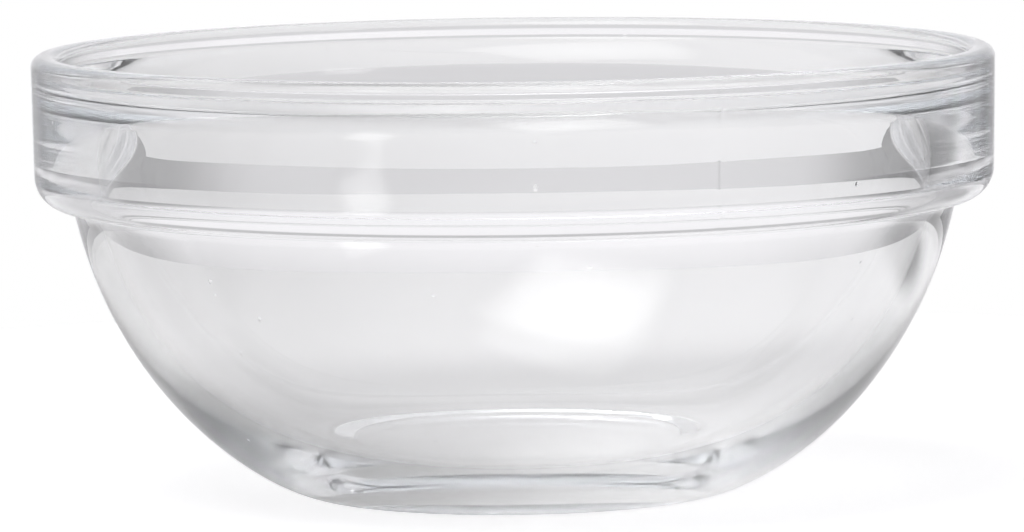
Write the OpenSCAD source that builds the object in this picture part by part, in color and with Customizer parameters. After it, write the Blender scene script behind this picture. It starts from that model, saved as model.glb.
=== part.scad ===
// Stacking salad bowl of clear pressed glass: a round body under a wide upright collar.
// Millimetres, +Z up, origin at the centre of the foot on the table.

/* [Rim and collar] */
// outer diameter across the rim
rim_d = 200; // [180:1:230]
// overall height, table to rim
height = 92.5; // [84:0.5:104]
// glass thickness of the rim wall at the top
rim_t = 5.8; // [5:0.1:6.6]
// rounding of the rim's two top edges
rim_round = 2.4; // [1:0.1:2.4]
// height of the collar, underside to rim
collar_h = 31.6; // [27:0.2:37]
// how much the collar narrows from the rim to its lower edge, on the radius
collar_draft = 0.5; // [0:0.1:1]
// rounding of the collar's lower outer edge
collar_round = 6.6; // [3:0.1:6.6]
// how far the collar stands out past the body, on the radius
collar_step = 8.3; // [8.2:0.1:11]
// rounding in the corner under the collar
corner_round = 0.8; // [0.3:0.1:0.8]

/* [Body] */
// diameter of the flat foot
foot_d = 82; // [74:1:92]
// lean of the outer wall from upright where it meets the collar, in degrees
side_lean = 12; // [8:0.5:16]
// pull of the lower wall along the table, as a share of the wall's width
heel_pull = 0.17; // [0.1:0.01:0.3]
// pull of the upper wall along its lean, as a share of the wall's height
side_pull = 0.73; // [0.6:0.01:0.8]
// width of the glass, level across, where the body meets the collar
wall_t = 5.2; // [4.6:0.1:6.2]
// thickness of the floor at the middle, table to inside
floor_h = 7.5; // [6.5:0.1:10]

/* [Inside] */
// diameter of the flat part of the floor
floor_d = 72; // [64:1:78]
// lean of the inner wall level with the collar's underside, in degrees
inner_lean = 12; // [9:0.5:16]
// pull of the inner wall along the floor, as a share of its width
inner_heel_pull = 0.32; // [0.2:0.01:0.45]
// pull of the inner wall along its lean, as a share of its height
inner_side_pull = 0.68; // [0.55:0.01:0.75]
// depth of the rim wall inside, rim to shoulder
rim_wall_h = 4.2; // [4.2:0.1:7]
// rounding in the corner between rim wall and shoulder
shoulder_corner = 1.6; // [0.5:0.1:1.8]
// rounding of the shoulder
shoulder_round = 14; // [12:0.1:16]
// width of the shoulder, on the radius
shoulder_w = 4.6; // [4:0.1:5]
// lean of the wall just under the shoulder, in degrees
shoulder_lean = 12; // [9:0.5:15]

/* [Underside] */
// width of the ring that the bowl stands on
foot_ring_w = 1.5; // [1:0.1:6]
// depth of the hollow
hollow_h = 1.3; // [0.6:0.1:2]
// width of the hollow's sloping edge
hollow_edge = 4.6; // [2:0.1:6]

/* [Hidden] */
$fn = 180;

rim_r = rim_d / 2;
foot_r = foot_d / 2;
body_r = rim_r - collar_step;
low_r = rim_r - collar_draft;
under_z = height - collar_h;
rim_in_r = rim_r - rim_t;
shoulder_z = height - rim_wall_h;
shoulder_tilt = acos(cos(shoulder_lean) - shoulder_w / shoulder_round);
shoulder_c = [
    rim_in_r - shoulder_w + shoulder_round * cos(shoulder_lean),
    shoulder_z - shoulder_round * sin(shoulder_tilt)
];
shoulder_low = shoulder_c + shoulder_round * [-cos(shoulder_lean), sin(shoulder_lean)];
wall_top = [body_r - wall_t, under_z];

// points along a cubic curve from p to s, pulled towards q and r on the way
function curve(p, q, r, s, n) = [
    for (i = [0 : n])
        let (t = i / n, u = 1 - t)
            u * u * u * p + 3 * u * u * t * q + 3 * u * t * t * r + t * t * t * s
];

// points of the arc of radius r that rounds the corner p between a and b
function rounded(a, p, b, r, n) =
    let (
        da = (a - p) / norm(a - p),
        db = (b - p) / norm(b - p),
        half = acos(da * db) / 2,
        c = p + (da + db) / norm(da + db) * r / sin(half),
        s = p + da * r / tan(half) - c,
        e = p + db * r / tan(half) - c,
        from = atan2(s[1], s[0]),
        turn = atan2(s[0] * e[1] - s[1] * e[0], s * e)
    )
    [for (i = [0 : n]) c + r * [cos(from + turn * i / n), sin(from + turn * i / n)]];

// unit step up a wall that leans out from upright by the angle a
function up(a) = [sin(a), cos(a)];

// points of an arc about c from angle a to angle b
function arc(c, r, a, b, n) = [
    for (i = [0 : n]) c + r * [cos(a + (b - a) * i / n), sin(a + (b - a) * i / n)]
];

// the same list without its first point
function after(list) = [for (i = [1 : len(list) - 1]) list[i]];

// the same list without its last point
function before(list) = [for (i = [0 : len(list) - 2]) list[i]];

hollow_low = [foot_r - foot_ring_w, 0];
hollow_top = hollow_low + [-hollow_edge, hollow_h];

foot_line = concat(
    [[0, hollow_h]],
    rounded([0, hollow_h], hollow_top, hollow_low, 2, 4),
    [hollow_low]
);

outer_wall = curve(
    [foot_r, 0],
    [foot_r + heel_pull * (body_r - foot_r), 0],
    [body_r, under_z] - side_pull * under_z * up(side_lean),
    [body_r, under_z],
    44
);

collar_line = concat(
    rounded([body_r, under_z] - 5 * up(side_lean), [body_r, under_z], [low_r, under_z], corner_round, 5),
    rounded([body_r, under_z], [low_r, under_z], [rim_r, height], collar_round, 14),
    rounded([low_r, under_z], [rim_r, height], [rim_in_r, height], rim_round, 10),
    rounded([rim_r, height], [rim_in_r, height], [rim_in_r, under_z], rim_round, 10)
);

shoulder_arc = arc(shoulder_c, shoulder_round, 180 - shoulder_tilt, 180 - shoulder_lean, 14);

shoulder_line = concat(
    rounded(
        [rim_in_r, height],
        [rim_in_r, shoulder_z],
        shoulder_arc[0] + 5 * [-cos(shoulder_tilt - 90), sin(shoulder_tilt - 90)],
        shoulder_corner,
        6
    ),
    [for (i = [2 : 14]) shoulder_arc[i]]
);

upper_inner_wall = curve(
    shoulder_low,
    shoulder_low - (shoulder_low[1] - under_z) / 3 * up(shoulder_lean),
    wall_top + (shoulder_low[1] - under_z) / 3 * up(inner_lean),
    wall_top,
    10
);

lower_inner_wall = curve(
    wall_top,
    wall_top - inner_side_pull * (under_z - floor_h) * up(inner_lean),
    [floor_d / 2 + inner_heel_pull * (wall_top[0] - floor_d / 2), floor_h],
    [floor_d / 2, floor_h],
    44
);

module bowl() {
    color("azure")
        rotate_extrude()
            polygon(concat(
                foot_line,
                before(outer_wall),
                collar_line,
                shoulder_line,
                after(upper_inner_wall),
                after(lower_inner_wall),
                [[0, floor_h]]
            ));
}

bowl();
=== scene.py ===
import math

import bpy
import numpy as np
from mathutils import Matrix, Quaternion, Vector


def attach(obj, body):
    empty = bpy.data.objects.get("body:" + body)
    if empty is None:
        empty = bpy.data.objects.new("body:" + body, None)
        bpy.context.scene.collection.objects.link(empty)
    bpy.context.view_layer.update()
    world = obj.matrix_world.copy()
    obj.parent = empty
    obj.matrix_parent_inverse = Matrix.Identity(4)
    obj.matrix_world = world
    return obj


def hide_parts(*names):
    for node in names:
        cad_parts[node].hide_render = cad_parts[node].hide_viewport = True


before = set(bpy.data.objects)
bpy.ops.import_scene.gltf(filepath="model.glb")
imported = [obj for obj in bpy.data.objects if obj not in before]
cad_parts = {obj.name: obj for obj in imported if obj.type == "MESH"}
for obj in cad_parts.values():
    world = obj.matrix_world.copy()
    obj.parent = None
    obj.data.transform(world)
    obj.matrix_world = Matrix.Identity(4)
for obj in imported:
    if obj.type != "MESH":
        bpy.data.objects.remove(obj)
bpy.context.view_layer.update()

# sizes of the bowl, in millimetres and degrees, as the part has them
RIM_R, HEIGHT, RIM_T, RIM_ROUND = 100.0, 92.5, 5.8, 2.4
COLLAR_H, COLLAR_DRAFT, COLLAR_ROUND, COLLAR_STEP, CORNER_ROUND = 31.6, 0.5, 6.6, 8.3, 0.8
FOOT_R, SIDE_LEAN, HEEL_PULL, SIDE_PULL, WALL_T = 41.0, 12.0, 0.17, 0.73, 5.2
FLOOR_H, FLOOR_R, INNER_LEAN, INNER_HEEL_PULL, INNER_SIDE_PULL = 7.5, 36.0, 12.0, 0.32, 0.68
RIM_WALL_H, SHOULDER_CORNER, SHOULDER_ROUND, SHOULDER_W, SHOULDER_LEAN = 4.2, 1.6, 14.0, 4.6, 12.0
FOOT_RING_W, HOLLOW_H, HOLLOW_EDGE, HOLLOW_ROUND = 1.5, 1.3, 4.6, 2.0
MM = 0.001

# steps round the bowl, and along each stretch of its section
ROUND_STEPS, WALL_STEPS, UPPER_WALL_STEPS = 360, 60, 14
HOLLOW_STEPS, CORNER_STEPS, COLLAR_STEPS, RIM_STEPS = 6, 6, 18, 12
SHOULDER_STEPS, SHOULDER_CORNER_STEPS = 20, 8
# first points of the shoulder's arc, which its corner takes the place of
SHOULDER_SKIP = 3
# length of the straight arm that gives a corner its direction
ARM = 5.0

# two fine ridges up the collar where the mould opened: place and half width in degrees round the bowl
SEAM_TURNS, SEAM_HALF, SEAM_H = (114.2, 294.2), 0.35, 0.09
# radius at which a ridge starts, and the further radius over which it reaches its height
SEAM_FROM_R, SEAM_RISE = 96.0, 3.0
# fine steps on each side of a ridge, half of its half width apart, and their least turn from an even step
SEAM_STEPS, SEAM_CLEAR = 4, 0.2

# clear glass: bending of light, share that passes, tint by the metre, and how often light may turn
GLASS_IOR, GLASS_PASSES, GLASS_DENSITY = 1.52, 0.985, 5.0
GLASS_TINT = (0.86, 0.89, 0.91, 1)
LIGHT_BOUNCES = 128
# waviness of the pressing: size, upright squeeze, fineness, strength and depth in metres
WAVE_SCALE, WAVE_SQUEEZE, WAVE_DETAIL, WAVE_STRENGTH, WAVE_DEPTH = 20.0, 1.6, 0.6, 0.04, 0.0006
# seeds, tiny pits far apart: cells in a metre, reach as a share of a cell, strength and depth in metres
SEED_CELLS, SEED_REACH, SEED_STRENGTH, SEED_DEPTH = 55.0, 0.035, 0.6, 0.0003

# the room's brightness: an even level and soft patches (side, height, inner and outer angle, gain)
ROOM_LEVEL = 0.95
ROOM_LOBES = [
    (74, 6, 6, 32, -0.33),
    (80, 30, 6, 32, -0.33),
    (64, -20, 8, 26, -0.25),
    (50, -8, 10, 36, -0.26),
    (-52, -8, 10, 36, -0.20),
    (21, -11, 6, 15, -0.34),
    (-20, -11, 6, 15, -0.24),
    (14, -10, 3, 8, -0.12),
    (-13, -10, 3, 8, -0.14),
    (-78, 3, 8, 36, -0.22),
    (-140, 60, 15, 62, 0.35),
    (135, 48, 10, 45, -0.15),
    (34, 15, 6, 24, -0.18),
    (-34, 17, 6, 24, -0.14),
    (0, -90, 81, 85, -0.28),
    (0, -90, 68, 77, 0.20),
]
ROOM_COLOUR, WHITE = (0.985, 0.976, 1, 1), (1, 1, 1, 1)
# a dark strip behind the bowl, between two cones about straight up and within a patch
STRIP_OUTER, STRIP_INNER, STRIP_PATCH = (0, 90, 65, 69), (0, 90, 56, 61), (0, 20, 40, 80)
STRIP_DEPTH = 0.42
# share of the room's light that dull surfaces don't get
DULL_CUT = 0.42

# floor, in metres: half widths of the oval sheet, its points, and its drop below the foot
SHEET_ACROSS, SHEET_DEEP, SHEET_STEPS, SHEET_DROP = 0.29, 0.388, 180, 0.0002
# painted side shade: tone across the sheet from left to right, darker on the left and lighter on the right,
# and the width that it spans
SHEET_SIDE_SHADE, SHEET_SPAN = [(0.0, 0.74), (0.5, 0.86), (1.0, 0.95)], 0.3
# painted shade that all rays but the camera's see, and light for the glass's rays, each with centre, reach
# and stops: a painted shadow left of the foot, a painted shade patch right of and behind the bowl, and an
# even lift with a painted pool of light right of the foot
SHADE_AT, SHADE_REACH, SHADE = (-0.042, -0.015, 0), 0.08, [(0.0, 0.64), (0.35, 0.68), (1.0, 1.0)]
RIGHT_SHADE_AT, RIGHT_SHADE_REACH, RIGHT_SHADE = (0.21, 0.095, 0), 0.08, [(0.0, 0.3), (0.5, 0.36), (1.0, 1.0)]
LIGHT_POOL_AT, LIGHT_POOL_REACH, GLASS_LIFT_AND_LIGHT_POOL = (0.034, -0.022, 0), 0.07, [(0.0, 0.32), (0.3, 0.29), (1.0, 0.13)]
# tone and lift that the camera sees
DIRECT_TONE, DIRECT_LIFT = 0.92, 0.4

# softboxes: side and height in degrees from the camera's side, distance, width, height and strength
SOFTBOXES = {
    "softbox_left": (-37, 66, 1.2, 1.18, 1.06, 4.2),
    "softbox_right": (52, 34, 1.2, 0.42, 0.34, 3.0),
}
SOFTBOX_MIDDLE = 0.05
SOFTBOX_FALL = [(0.0, 1.0), (0.5, 0.9), (1.0, 0.0)]

# camera: distance in metres, degrees above the rim, turn on its own axis, and the photo's scale
FAR, CAMERA_UP, CAMERA_TURN = 1.8, 3.95, -0.7
CAMERA_AIM = (-0.0007, 0, 0.0471)
PIXELS_PER_M, PHOTO_WIDTH, SENSOR_MM, CLIP_START = 4830, 1024, 36.0, 0.01

scene = bpy.context.scene
scene.view_settings.view_transform = "Standard"
scene.cycles.max_bounces = LIGHT_BOUNCES
scene.cycles.transmission_bounces = LIGHT_BOUNCES
scene.cycles.glossy_bounces = LIGHT_BOUNCES


def vec(r, z):
    """A point or step of the half section."""
    return np.array((r, z), float)


def lean(angle):
    """Unit step up a wall that leans out from upright by the angle in degrees."""
    a = math.radians(angle)
    return vec(math.sin(a), math.cos(a))


def curve(p, q, r, s, n):
    """Points along a cubic curve from p to s, pulled towards q and r on the way."""
    t = np.linspace(0, 1, n + 1)[:, None]
    u = 1 - t
    return list(u**3 * p + 3 * u * u * t * q + 3 * u * t * t * r + t**3 * s)


def rounded(a, p, b, r, n):
    """Points of the arc of radius r that rounds the corner p between a and b."""
    da, db = (a - p) / np.linalg.norm(a - p), (b - p) / np.linalg.norm(b - p)
    half = math.acos(da @ db) / 2
    c = p + (da + db) / np.linalg.norm(da + db) * r / math.sin(half)
    s, e = p + da * r / math.tan(half) - c, p + db * r / math.tan(half) - c
    start = math.atan2(s[1], s[0])
    turn = math.atan2(s[0] * e[1] - s[1] * e[0], s @ e)
    angles = [start + turn * i / n for i in range(n + 1)]
    return [c + r * vec(math.cos(g), math.sin(g)) for g in angles]


def outer_line(body_r, under_z, rim_out, rim_in):
    """The section from the middle of the underside, round the foot and collar, to the inside of the rim."""
    under, low = vec(body_r, under_z), vec(RIM_R - COLLAR_DRAFT, under_z)
    hollow_low = vec(FOOT_R - FOOT_RING_W, 0)
    hollow_top = hollow_low + vec(-HOLLOW_EDGE, HOLLOW_H)
    heel = vec(FOOT_R + HEEL_PULL * (body_r - FOOT_R), 0)
    side = under - SIDE_PULL * under_z * lean(SIDE_LEAN)
    line = [vec(0, HOLLOW_H)]
    line += rounded(vec(0, HOLLOW_H), hollow_top, hollow_low, HOLLOW_ROUND, HOLLOW_STEPS) + [hollow_low]
    line += curve(vec(FOOT_R, 0), heel, side, under, WALL_STEPS)[:-1]
    line += rounded(under - ARM * lean(SIDE_LEAN), under, low, CORNER_ROUND, CORNER_STEPS)
    line += rounded(under, low, rim_out, COLLAR_ROUND, COLLAR_STEPS)
    line += rounded(low, rim_out, rim_in, RIM_ROUND, RIM_STEPS)
    line += rounded(rim_out, rim_in, vec(rim_in[0], under_z), RIM_ROUND, RIM_STEPS)
    return line


def inner_line(wall_top, rim_in):
    """The section from the rim wall over the shoulder and down the inner wall to the middle of the floor."""
    under_z, shoulder_z = wall_top[1], HEIGHT - RIM_WALL_H
    slope = math.radians(SHOULDER_LEAN)
    tilt = math.acos(math.cos(slope) - SHOULDER_W / SHOULDER_ROUND)
    centre = vec(
        rim_in[0] - SHOULDER_W + SHOULDER_ROUND * math.cos(slope),
        shoulder_z - SHOULDER_ROUND * math.sin(tilt),
    )
    angles = [math.pi - tilt + (tilt - slope) * i / SHOULDER_STEPS for i in range(SHOULDER_STEPS + 1)]
    arc = [centre + SHOULDER_ROUND * vec(math.cos(a), math.sin(a)) for a in angles]
    onward = arc[0] + ARM * vec(-math.cos(tilt - math.pi / 2), math.sin(tilt - math.pi / 2))
    corner = vec(rim_in[0], shoulder_z)
    line = rounded(rim_in, corner, onward, SHOULDER_CORNER, SHOULDER_CORNER_STEPS) + arc[SHOULDER_SKIP:]

    shoulder_low = centre + SHOULDER_ROUND * vec(-math.cos(slope), math.sin(slope))
    third = (shoulder_low[1] - under_z) / 3
    upper, lower = shoulder_low - third * lean(SHOULDER_LEAN), wall_top + third * lean(INNER_LEAN)
    line += curve(shoulder_low, upper, lower, wall_top, UPPER_WALL_STEPS)[1:]

    side = wall_top - INNER_SIDE_PULL * (under_z - FLOOR_H) * lean(INNER_LEAN)
    heel = vec(FLOOR_R + INNER_HEEL_PULL * (wall_top[0] - FLOOR_R), FLOOR_H)
    line += curve(wall_top, side, heel, vec(FLOOR_R, FLOOR_H), WALL_STEPS)[1:]
    return line + [vec(0, FLOOR_H)]


def bowl_section():
    """The half section of the bowl, from the middle of its underside round to the middle of its floor."""
    body_r, under_z = RIM_R - COLLAR_STEP, HEIGHT - COLLAR_H
    rim_out, rim_in = vec(RIM_R, HEIGHT), vec(RIM_R - RIM_T, HEIGHT)
    wall_top = vec(body_r - WALL_T, under_z)
    return np.array(outer_line(body_r, under_z, rim_out, rim_in) + inner_line(wall_top, rim_in))


def seam(r, turn):
    """How far the mould's ridge stands out of the collar, fading out below it and over the rim."""
    near = min(abs(turn - t) for t in SEAM_TURNS)
    share = min(max((r - SEAM_FROM_R) / SEAM_RISE, 0), 1)
    return SEAM_H * share * math.exp(-(near / SEAM_HALF) ** 2)


def bowl_turns():
    """Even steps round the bowl in degrees, with fine ones at the ridges."""
    fine = [t + SEAM_HALF * i / 2 for t in SEAM_TURNS for i in range(-SEAM_STEPS, SEAM_STEPS + 1)]
    even = [t * 360 / ROUND_STEPS for t in range(ROUND_STEPS)]
    return sorted([t for t in even if min(abs(t - u) for u in fine) > SEAM_CLEAR] + fine)


def add_object(name, verts, faces):
    """A new mesh object in the scene."""
    mesh = bpy.data.meshes.new(name)
    mesh.from_pydata(verts, [], faces)
    made = bpy.data.objects.new(name, mesh)
    scene.collection.objects.link(made)
    return made


def lathe(name, line, turns, swell):
    """A closed mesh turned from a half section with its ends on the axis; swell adds to the radius."""
    steps = len(turns)
    ring = [(math.cos(math.radians(t)), math.sin(math.radians(t)), t) for t in turns]
    verts = [(0, 0, line[0][1])]
    for r, z in line[1:-1]:
        for c, s, t in ring:
            out = r + swell(r, t)
            verts.append((out * c, out * s, z))
    verts.append((0, 0, line[-1][1]))
    last = len(verts) - 1
    rows = len(line) - 3
    faces = []
    for j in range(steps):
        k = (j + 1) % steps
        faces.append((0, 1 + k, 1 + j))
        for i in range(rows):
            a, b = 1 + i * steps, 1 + (i + 1) * steps
            faces.append((a + j, a + k, b + k, b + j))
        a = 1 + rows * steps
        faces.append((a + j, a + k, last))
    made = add_object(name, [tuple(x * MM for x in v) for v in verts], faces)
    made.data.polygons.foreach_set("use_smooth", [True] * len(faces))
    made.data.update()
    return made


def link_math(tree, op, *values):
    """A Math node; a number goes straight on its socket and a socket is linked."""
    n = tree.nodes.new("ShaderNodeMath")
    n.operation = op
    for i, v in enumerate(values):
        if isinstance(v, (int, float)):
            n.inputs[i].default_value = v
        else:
            tree.links.new(v, n.inputs[i])
    return n.outputs[0]


def ramp(tree, value, stops):
    """A smooth grey ramp through (position, value) stops."""
    n = tree.nodes.new("ShaderNodeValToRGB")
    n.color_ramp.interpolation = "EASE"
    els = n.color_ramp.elements
    els.remove(els[-1])
    els[0].position, els[0].color = stops[0][0], (stops[0][1],) * 3 + (1,)
    for p, v in stops[1:]:
        els.new(p).color = (v,) * 3 + (1,)
    tree.links.new(value, n.inputs[0])
    return n.outputs[0]


def patch(tree, position, centre, reach, stops):
    """A grey ramp over the distance from a centre, as a share of the reach."""
    n = tree.nodes.new("ShaderNodeVectorMath")
    n.operation = "DISTANCE"
    tree.links.new(position, n.inputs[0])
    n.inputs[1].default_value = centre
    return ramp(tree, link_math(tree, "MULTIPLY", n.outputs["Value"], 1 / reach), stops)


def new_material(name):
    """A new material and its node tree."""
    made = bpy.data.materials.new(name)
    made.use_nodes = True
    return made, made.node_tree


def wavy_normal(tree, position):
    """The slight waviness of pressed glass."""
    stretch = tree.nodes.new("ShaderNodeMapping")
    stretch.inputs["Scale"].default_value = (1.0, 1.0, WAVE_SQUEEZE)
    tree.links.new(position, stretch.inputs["Vector"])
    waves = tree.nodes.new("ShaderNodeTexNoise")
    waves.inputs["Scale"].default_value = WAVE_SCALE
    waves.inputs["Detail"].default_value = WAVE_DETAIL
    tree.links.new(stretch.outputs[0], waves.inputs["Vector"])
    bump = tree.nodes.new("ShaderNodeBump")
    bump.inputs["Strength"].default_value = WAVE_STRENGTH
    bump.inputs["Distance"].default_value = WAVE_DEPTH
    tree.links.new(waves.outputs[0], bump.inputs["Height"])
    return bump.outputs[0]


def seeded_normal(tree, position, normal):
    """A few tiny pits in a surface that already has the given normal."""
    cells = tree.nodes.new("ShaderNodeTexVoronoi")
    cells.inputs["Scale"].default_value = SEED_CELLS
    tree.links.new(position, cells.inputs["Vector"])
    pits = tree.nodes.new("ShaderNodeBump")
    pits.invert = True
    pits.inputs["Strength"].default_value = SEED_STRENGTH
    pits.inputs["Distance"].default_value = SEED_DEPTH
    seeds = ramp(tree, cells.outputs["Distance"], [(0.0, 1.0), (SEED_REACH, 0.0)])
    tree.links.new(seeds, pits.inputs["Height"])
    tree.links.new(normal, pits.inputs["Normal"])
    return pits.outputs[0]


def clear_glass():
    """Clear pressed glass with a faint cool tint in its depth."""
    made, tree = new_material("clear_glass")
    skin = tree.nodes["Principled BSDF"]
    skin.inputs["Base Color"].default_value = WHITE
    skin.inputs["Roughness"].default_value = 0.0
    skin.inputs["IOR"].default_value = GLASS_IOR
    skin.inputs["Transmission Weight"].default_value = GLASS_PASSES
    position = tree.nodes.new("ShaderNodeTexCoord").outputs["Object"]
    normal = seeded_normal(tree, position, wavy_normal(tree, position))
    tree.links.new(normal, skin.inputs["Normal"])
    tint = tree.nodes.new("ShaderNodeVolumeAbsorption")
    tint.inputs["Color"].default_value = GLASS_TINT
    tint.inputs["Density"].default_value = GLASS_DENSITY
    tree.links.new(tint.outputs[0], tree.nodes["Material Output"].inputs["Volume"])
    return made


def towards(side, up):
    """Unit direction; side is degrees to the right of straight behind the bowl, up is degrees of height."""
    a, e = math.radians(side), math.radians(up)
    return Vector((math.sin(a) * math.cos(e), math.cos(a) * math.cos(e), math.sin(e)))


def lobe(tree, along, side, up, near, far):
    """1 within near degrees of a direction, 0 beyond far degrees, smooth between."""
    n = tree.nodes.new("ShaderNodeVectorMath")
    n.operation = "DOT_PRODUCT"
    tree.links.new(along, n.inputs[0])
    n.inputs[1].default_value = towards(side, up)
    m = tree.nodes.new("ShaderNodeMapRange")
    m.interpolation_type = "SMOOTHSTEP"
    m.inputs["From Min"].default_value = math.cos(math.radians(far))
    m.inputs["From Max"].default_value = math.cos(math.radians(near))
    tree.links.new(n.outputs["Value"], m.inputs["Value"])
    return m.outputs[0]


def room_level(tree, dull_ray):
    """Brightness of the room in each direction, lower for rays from dull surfaces."""
    along = tree.nodes.new("ShaderNodeTexCoord").outputs["Generated"]
    level = ROOM_LEVEL
    for side, up, near, far, gain in ROOM_LOBES:
        part = link_math(tree, "MULTIPLY", lobe(tree, along, side, up, near, far), gain)
        level = link_math(tree, "ADD", part, level)
    strip = link_math(tree, "SUBTRACT", lobe(tree, along, *STRIP_OUTER), lobe(tree, along, *STRIP_INNER))
    strip = link_math(tree, "MULTIPLY", strip, lobe(tree, along, *STRIP_PATCH))
    level = link_math(tree, "SUBTRACT", level, link_math(tree, "MULTIPLY", strip, STRIP_DEPTH))
    kept = link_math(tree, "SUBTRACT", 1.0, link_math(tree, "MULTIPLY", dull_ray, DULL_CUT))
    return link_math(tree, "MULTIPLY", level, kept)


def studio_world():
    """White to the camera, and a soft pale room with darker patches to the glass and the floor."""
    made = bpy.data.worlds.new("studio")
    made.use_nodes = True
    tree = made.node_tree
    tree.nodes.clear()
    path = tree.nodes.new("ShaderNodeLightPath")
    room = tree.nodes.new("ShaderNodeBackground")
    room.inputs[0].default_value = ROOM_COLOUR
    tree.links.new(room_level(tree, path.outputs["Is Diffuse Ray"]), room.inputs[1])
    white = tree.nodes.new("ShaderNodeBackground")
    white.inputs[0].default_value = WHITE
    pick = tree.nodes.new("ShaderNodeMixShader")
    tree.links.new(path.outputs["Is Camera Ray"], pick.inputs[0])
    tree.links.new(room.outputs[0], pick.inputs[1])
    tree.links.new(white.outputs[0], pick.inputs[2])
    out = tree.nodes.new("ShaderNodeOutputWorld")
    tree.links.new(pick.outputs[0], out.inputs[0])
    return made


def sheet_material():
    """Dull pale sheet with painted shade that all rays but the camera's see, lifted to white for the camera,
    and lifted less for the glass with a painted pool of light right of the foot.
    """
    made, tree = new_material("floor")
    tree.nodes.clear()
    path = tree.nodes.new("ShaderNodeLightPath")
    seen_directly = path.outputs["Is Camera Ray"]
    reflected, passed = path.outputs["Is Glossy Ray"], path.outputs["Is Transmission Ray"]
    seen_by_glass = link_math(tree, "MAXIMUM", reflected, passed)
    position = tree.nodes.new("ShaderNodeTexCoord").outputs["Object"]
    part = tree.nodes.new("ShaderNodeSeparateXYZ")
    tree.links.new(position, part.inputs[0])
    # painted side shade: the sheet is darker on its left and lighter on its right
    pale = ramp(tree, link_math(tree, "MULTIPLY_ADD", part.outputs[0], 1 / SHEET_SPAN, 0.5), SHEET_SIDE_SHADE)
    # painted shadow left of the foot
    shade = patch(tree, position, SHADE_AT, SHADE_REACH, SHADE)
    # painted shade patch right of and behind the bowl, which also dims the glow that the glass sees
    grey = patch(tree, position, RIGHT_SHADE_AT, RIGHT_SHADE_REACH, RIGHT_SHADE)
    # an even lift for the glass with a painted pool of light right of the foot
    glass_lift_and_light_pool = patch(tree, position, LIGHT_POOL_AT, LIGHT_POOL_REACH, GLASS_LIFT_AND_LIGHT_POOL)

    # the painted shade darkens the sheet's tone for all rays but the camera's, which see at least the plain
    # tone
    tone = link_math(tree, "MULTIPLY", link_math(tree, "MULTIPLY", pale, shade), grey)
    tone = link_math(tree, "MAXIMUM", tone, link_math(tree, "MULTIPLY", seen_directly, DIRECT_TONE))
    dull = tree.nodes.new("ShaderNodeBsdfDiffuse")
    tree.links.new(tone, dull.inputs[0])

    to_camera = link_math(tree, "MULTIPLY", seen_directly, DIRECT_LIFT)
    # glow for the glass's rays: the even lift and the painted pool of light, dimmed by the painted shade
    # patch on the right
    to_glass = link_math(tree, "MULTIPLY", seen_by_glass, link_math(tree, "MULTIPLY", glass_lift_and_light_pool, grey))
    lift = tree.nodes.new("ShaderNodeEmission")
    tree.links.new(link_math(tree, "MAXIMUM", to_camera, to_glass), lift.inputs[1])

    both = tree.nodes.new("ShaderNodeAddShader")
    tree.links.new(dull.outputs[0], both.inputs[0])
    tree.links.new(lift.outputs[0], both.inputs[1])
    out = tree.nodes.new("ShaderNodeOutputMaterial")
    tree.links.new(both.outputs[0], out.inputs[0])
    return made


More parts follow.
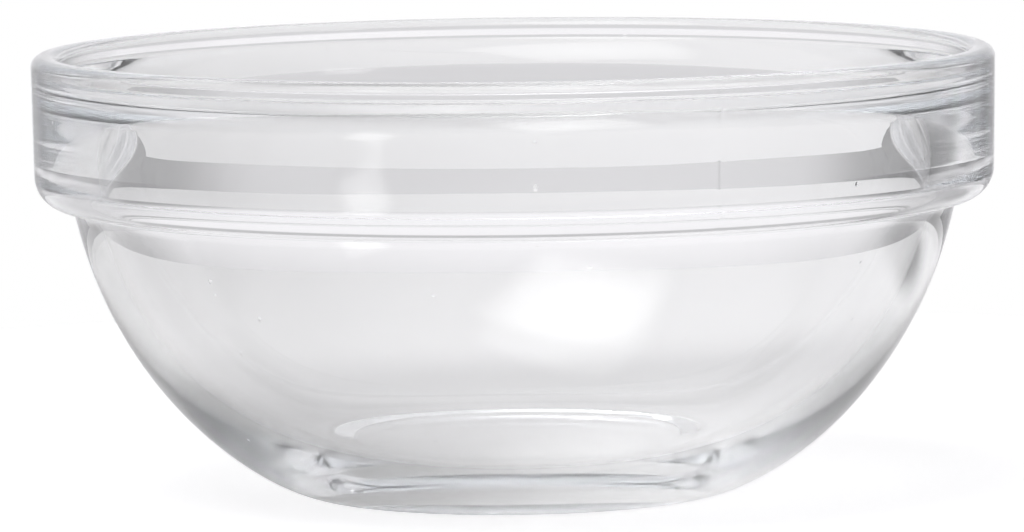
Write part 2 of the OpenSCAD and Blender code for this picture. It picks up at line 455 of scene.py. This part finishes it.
def softbox_material(name, half_width, half_height, strength):
    """A glow that is brightest in the middle of a card and clear at its edges."""
    made, tree = new_material(name)
    tree.nodes.clear()
    part = tree.nodes.new("ShaderNodeSeparateXYZ")
    tree.links.new(tree.nodes.new("ShaderNodeTexCoord").outputs["Object"], part.inputs[0])
    fall = []
    for axis, half in ((0, half_width), (1, half_height)):
        share = link_math(tree, "DIVIDE", link_math(tree, "ABSOLUTE", part.outputs[axis]), half)
        fall.append(ramp(tree, share, SOFTBOX_FALL))
    level = link_math(tree, "MULTIPLY", *fall)
    glow = tree.nodes.new("ShaderNodeEmission")
    tree.links.new(link_math(tree, "MULTIPLY", level, strength), glow.inputs[1])
    clear = tree.nodes.new("ShaderNodeBsdfTransparent")
    mix = tree.nodes.new("ShaderNodeMixShader")
    tree.links.new(level, mix.inputs[0])
    tree.links.new(clear.outputs[0], mix.inputs[1])
    tree.links.new(glow.outputs[0], mix.inputs[2])
    out = tree.nodes.new("ShaderNodeOutputMaterial")
    tree.links.new(mix.outputs[0], out.inputs[0])
    return made


def softbox(name, across, up, distance, width, height, strength):
    """A glowing card that faces the bowl; across is degrees to the right of the camera's side."""
    a, e = math.radians(across), math.radians(up)
    to = Vector((math.sin(a) * math.cos(e), -math.cos(a) * math.cos(e), math.sin(e)))
    w, h = width / 2, height / 2
    card = add_object(name, [(-w, -h, 0), (w, -h, 0), (w, h, 0), (-w, h, 0)], [(0, 1, 2, 3)])
    card.location = to * distance + Vector((0, 0, SOFTBOX_MIDDLE))
    card.rotation_euler = to.to_track_quat("Z", "Y").to_euler()
    card.data.materials.append(softbox_material(name, w, h, strength))
    card.visible_camera = False


def photo_camera():
    """A long lens a little above the rim, turned a little on its own axis."""
    eye = Vector((0, -FAR, HEIGHT * MM + FAR * math.tan(math.radians(CAMERA_UP))))
    lens = bpy.data.cameras.new("camera")
    lens.sensor_width = SENSOR_MM
    lens.lens = PIXELS_PER_M * FAR * SENSOR_MM / PHOTO_WIDTH
    lens.clip_start = CLIP_START
    made = bpy.data.objects.new("camera", lens)
    scene.collection.objects.link(made)
    made.location = eye
    turn = Quaternion((0, 0, 1), math.radians(CAMERA_TURN))
    made.rotation_euler = ((Vector(CAMERA_AIM) - eye).to_track_quat("-Z", "Y") @ turn).to_euler()
    return made


# bowl
bowl = lathe("glass_bowl", bowl_section(), bowl_turns(), seam)
bowl.data.materials.append(clear_glass())
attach(bowl, "root")
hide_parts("bowl")

# studio
scene.world = studio_world()
oval = [2 * math.pi * i / SHEET_STEPS for i in range(SHEET_STEPS)]
edge = [(SHEET_ACROSS * math.cos(a), SHEET_DEEP * math.sin(a), 0) for a in oval]
floor = add_object("floor", edge, [tuple(range(SHEET_STEPS))])
floor.location.z = -SHEET_DROP
floor.data.materials.append(sheet_material())
for name, settings in SOFTBOXES.items():
    softbox(name, *settings)
scene.camera = photo_camera()
